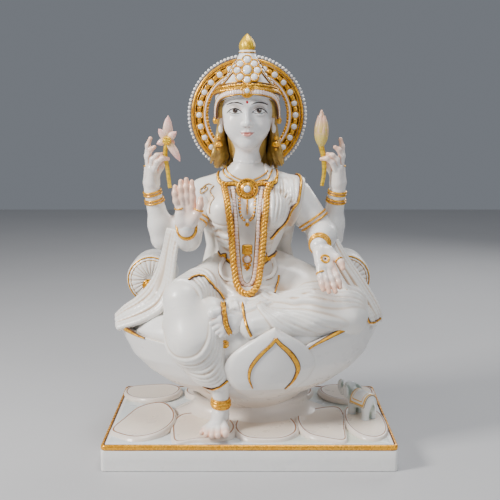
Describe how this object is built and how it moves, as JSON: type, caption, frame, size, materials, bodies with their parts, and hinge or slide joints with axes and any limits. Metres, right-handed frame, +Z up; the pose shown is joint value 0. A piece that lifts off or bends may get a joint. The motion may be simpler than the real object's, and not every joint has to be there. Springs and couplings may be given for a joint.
{
  "type": "seated goddess statue",
  "caption": "Seated four-armed goddess in polished white marble on a lotus throne, gilded and set with pearls, with a halo, lotus flowers, bolsters and a small elephant at the base",
  "frame": {"origin": "centre of the plinth's flat underside, on the surface it stands on", "axes": "+Z up, -Y toward the viewer the figure faces, +X toward the figure's own left side"},
  "size_m": [0.41, 0.27, 0.6],
  "materials": {
    "marble": "polished",
    "tinted_marble": "polished, tinted",
    "rose_marble": "polished, painted rose and yellow",
    "gilding": "gold leaf and brown outline",
    "painted_hair": "brown and gold paint",
    "pearls": "imitation pearl",
    "stones": "cut and polished"
  },
  "bodies": {
    "root": {"plinth": "marble", "plinth_gold_band": "gilding", "base_petals": "marble", "throne_stem": "marble", "throne_bowl": "marble", "front_petal": "marble", "front_left_petal": "marble", "left_petal": "marble", "right_petal": "marble", "back_petals": "marble", "petal_gold_rims": "gilding", "right_bolster": "marble", "left_bolster": "marble", "bolster_medallions": "gilding", "elephant": "tinted_marble", "elephant_cloth": "gilding", "lap": "marble", "right_leg": "marble", "right_foot": "marble", "left_foot": "marble", "right_anklet": "gilding", "left_anklet": "gilding", "sari_pleats": "marble", "sari_gold_borders": "gilding", "belt": "gilding", "torso": "marble", "pallu": "marble", "back_shawl": "marble", "right_shawl_fall": "marble", "left_shawl_end": "marble", "head": "marble", "hair": "painted_hair", "crown": "gilding", "crown_jewel": "gilding", "crown_finial": "gilding", "earrings": "gilding", "halo_ring": "gilding", "halo_stones": "stones", "halo_pearls": "pearls", "collar_disc": "gilding", "rope_garland": "gilding", "pearl_strand": "pearls", "bead_necklace": "gilding", "waist_pendant": "gilding", "garland_tassel": "gilding", "front_right_arm": "marble", "front_right_hand": "marble", "front_left_arm": "marble", "front_left_hand": "marble", "back_right_arm": "marble", "back_right_hand": "marble", "back_left_arm": "marble", "back_left_hand": "marble", "wrist_bangles": "gilding", "armlets": "gilding", "open_lotus": "rose_marble", "lotus_bud": "rose_marble"}
  },
  "joints": []
}
